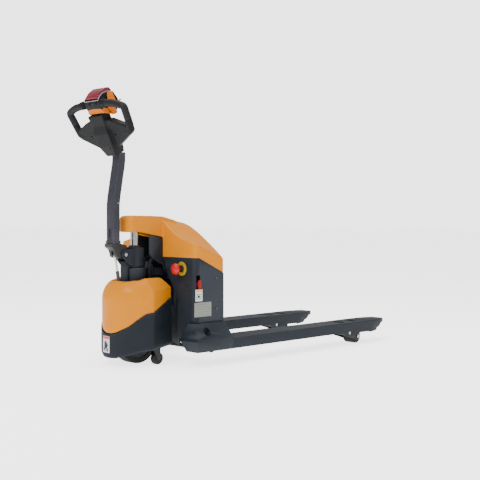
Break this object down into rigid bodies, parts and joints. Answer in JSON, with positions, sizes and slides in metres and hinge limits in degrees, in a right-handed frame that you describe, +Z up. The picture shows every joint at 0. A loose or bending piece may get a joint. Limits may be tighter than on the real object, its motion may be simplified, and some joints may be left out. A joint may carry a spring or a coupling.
{
  "type": "electric pallet truck",
  "caption": "Walk-behind electric pallet truck: two long forks, body with orange cover, steerable drive unit with stabilising casters, and a tilting tiller with loop handle.",
  "frame": {"origin": "centre of the footprint at floor level, under the middle of the overall length and width", "axes": "+X along the forks towards their tips, +Y to the left of the forks seen from the tiller, +Z up"},
  "size_m": [1.7805, 0.685, 1.2749],
  "materials": {
    "cover_orange": "moulded gloss orange",
    "frame_grey": "satin dark blue-grey powder coat",
    "arm_grey": "satin dark grey powder coat",
    "chrome": "hard chrome",
    "black_steel": "black oxide and black paint",
    "bright_steel": "zinc plated",
    "cast_aluminium": "as cast",
    "motor_black": "satin black",
    "hub_iron": "machined cast iron",
    "tyre_pu": "black tread",
    "wheel_pu": "black polyurethane",
    "black_plastic": "textured black",
    "head_plastic": "fine textured charcoal",
    "grip_rubber": "grained rubber",
    "control_orange": "satin deep orange",
    "button_black": "matte",
    "belly_red": "satin dark red",
    "estop_red": "gloss red",
    "estop_yellow": "yellow disc on a black collar",
    "key_red": "dark red",
    "plate_silver": "blank brushed plate"
  },
  "bodies": {
    "swivel_base": {"lift_collar": "frame_grey", "lift_barrel": "black_steel", "torque_arm": "frame_grey", "conduits": "black_plastic"},
    "chassis": {"fork_left": "frame_grey", "fork_right": "frame_grey", "heel_left": "frame_grey", "heel_right": "frame_grey", "base_frame": "frame_grey", "column": "frame_grey", "body_panel_left": "frame_grey", "body_panel_right": "frame_grey", "back_panel": "frame_grey", "recess_wall": "frame_grey", "top_cover": "cover_orange", "lift_rod": "chrome", "battery": "black_plastic", "controller": "black_plastic", "estop_base": "estop_yellow", "nameplate": "plate_silver", "body_screws": "black_steel", "arm_pins": "bright_steel"},
    "estop": {"estop_button": "estop_red"},
    "key": {"power_key": "key_red"},
    "rocker": {"rocker_shaft": "black_steel"},
    "rod_left": {"push_rod_left": "black_steel"},
    "rod_right": {"push_rod_right": "black_steel"},
    "arm_left": {"load_arm_left": "black_steel", "load_axle_left": "bright_steel"},
    "arm_right": {"load_arm_right": "black_steel", "load_axle_right": "bright_steel"},
    "roller_left": {"load_wheel_left": "wheel_pu"},
    "roller_right": {"load_wheel_right": "wheel_pu"},
    "drive_unit": {"drive_cover": "cover_orange", "drive_skirt": "frame_grey", "base_plate": "frame_grey", "drive_head": "black_steel", "drive_motor": "motor_black", "gearbox": "cast_aluminium", "drive_axle": "bright_steel", "tiller_bracket": "frame_grey", "tiller_pin": "bright_steel"},
    "drive_wheel": {"drive_hub": "hub_iron", "drive_tyre": "tyre_pu"},
    "caster_left": {"caster_fork_left": "black_steel"},
    "caster_right": {"caster_fork_right": "black_steel"},
    "caster_roller_left": {"caster_wheel_left": "wheel_pu"},
    "caster_roller_right": {"caster_wheel_right": "wheel_pu"},
    "tiller": {"tiller_casting": "black_steel", "tiller_arm": "arm_grey", "head_base": "head_plastic", "head_top": "head_plastic", "head_trim": "control_orange", "handle_grips": "grip_rubber"},
    "thumb_throttle": {"throttle": "control_orange"},
    "belly": {"belly_button": "belly_red"},
    "button_lift": {"lift_button": "button_black"},
    "button_lower": {"lower_button": "button_black"},
    "spring_body": {"gas_spring_body": "black_steel"},
    "spring_rod": {"gas_spring_rod": "chrome"}
  },
  "joints": [
    {"name": "lift", "type": "slide", "parent": "swivel_base", "child": "chassis", "axis": [0, 0, 1], "range_m": [-0.035, 0.065]},
    {"name": "steer", "type": "hinge", "parent": "swivel_base", "child": "drive_unit", "pos_m": [-0.642, 0, 0.345], "axis": [0, 0, 1], "range_deg": [-90, 90]},
    {"name": "drive_wheel_spin", "type": "hinge", "parent": "drive_unit", "child": "drive_wheel", "pos_m": [-0.642, 0, 0.105], "axis": [0, 1, 0], "continuous": true},
    {"name": "load_arm_right_swing", "type": "hinge", "parent": "chassis", "child": "arm_right", "pos_m": [0.539, -0.2675, 0.066], "axis": [0, 1, 0], "range_deg": [-21, 38.5]},
    {"name": "push_rod_right_slide", "type": "slide", "parent": "chassis", "child": "rod_right", "axis": [1, 0, 0], "range_m": [-0.0125, 0.023]},
    {"name": "load_wheel_right_spin", "type": "hinge", "parent": "arm_right", "child": "roller_right", "pos_m": [0.6455, -0.2675, 0.037], "axis": [0, 1, 0], "continuous": true},
    {"name": "caster_right_swivel", "type": "hinge", "parent": "drive_unit", "child": "caster_right", "pos_m": [-0.618, -0.112, 0.1], "axis": [0, 0, 1], "continuous": true},
    {"name": "caster_right_roll", "type": "hinge", "parent": "caster_right", "child": "caster_roller_right", "pos_m": [-0.601, -0.112, 0.029], "axis": [0, 1, 0], "continuous": true},
    {"name": "load_arm_left_swing", "type": "hinge", "parent": "chassis", "child": "arm_left", "pos_m": [0.539, 0.2675, 0.066], "axis": [0, 1, 0], "range_deg": [-21, 38.5]},
    {"name": "push_rod_left_slide", "type": "slide", "parent": "chassis", "child": "rod_left", "axis": [1, 0, 0], "range_m": [-0.0125, 0.023]},
    {"name": "load_wheel_left_spin", "type": "hinge", "parent": "arm_left", "child": "roller_left", "pos_m": [0.6455, 0.2675, 0.037], "axis": [0, 1, 0], "continuous": true},
    {"name": "caster_left_swivel", "type": "hinge", "parent": "drive_unit", "child": "caster_left", "pos_m": [-0.618, 0.112, 0.1], "axis": [0, 0, 1], "continuous": true},
    {"name": "caster_left_roll", "type": "hinge", "parent": "caster_left", "child": "caster_roller_left", "pos_m": [-0.601, 0.112, 0.029], "axis": [0, 1, 0], "continuous": true},
    {"name": "rocker_turn", "type": "hinge", "parent": "chassis", "child": "rocker", "pos_m": [-0.4, 0, 0.066], "axis": [0, 1, 0], "range_deg": [-21, 38.5]},
    {"name": "estop_push", "type": "slide", "parent": "chassis", "child": "estop", "axis": [1, 0, 0], "range_m": [0, 0.006]},
    {"name": "power_key_slide", "type": "slide", "parent": "chassis", "child": "key", "axis": [0, 0, 1], "range_m": [0, 0.018]},
    {"name": "tiller_tilt", "type": "hinge", "parent": "drive_unit", "child": "tiller", "pos_m": [-0.722, 0, 0.512], "axis": [0, -1, 0], "range_deg": [0, 80], "stiffness_Nm_per_rad": 26, "springref_deg": -68.75},
    {"name": "throttle_turn", "type": "hinge", "parent": "tiller", "child": "thumb_throttle", "pos_m": [-0.828, 0, 1.196], "axis": [0, 1, 0], "range_deg": [-20, 20], "stiffness_Nm_per_rad": 0.6},
    {"name": "belly_push", "type": "slide", "parent": "tiller", "child": "belly", "axis": [0.6402, 0, -0.7682], "range_m": [0, 0.004], "stiffness_N_per_m": 800, "springref_m": -0.006},
    {"name": "lift_button_push", "type": "slide", "parent": "tiller", "child": "button_lift", "axis": [1, 0, 0], "range_m": [0, 0.003], "stiffness_N_per_m": 200},
    {"name": "lower_button_push", "type": "slide", "parent": "tiller", "child": "button_lower", "axis": [1, 0, 0], "range_m": [0, 0.003], "stiffness_N_per_m": 200},
    {"name": "spring_swing", "type": "hinge", "parent": "drive_unit", "child": "spring_body", "pos_m": [-0.728, 0, 0.345], "axis": [0, 1, 0], "range_deg": [-1, 14]},
    {"name": "spring_stroke", "type": "slide", "parent": "spring_body", "child": "spring_rod", "axis": [-0.1693, 0, 0.9856], "range_m": [-0.034, 0.001]}
  ],
  "couplings": [
    {"joint": "rocker_turn", "follows": "lift", "rad_per_m": 10.12},
    {"joint": "load_arm_left_swing", "follows": "lift", "rad_per_m": 10.12},
    {"joint": "push_rod_left_slide", "follows": "lift", "ratio": 0.34408},
    {"joint": "load_arm_right_swing", "follows": "lift", "rad_per_m": 10.12},
    {"joint": "push_rod_right_slide", "follows": "lift", "ratio": 0.34408},
    {"joint": "spring_swing", "follows": "tiller_tilt", "ratio": 0.14375},
    {"joint": "spring_stroke", "follows": "tiller_tilt", "m_per_rad": -0.02313}
  ]
}
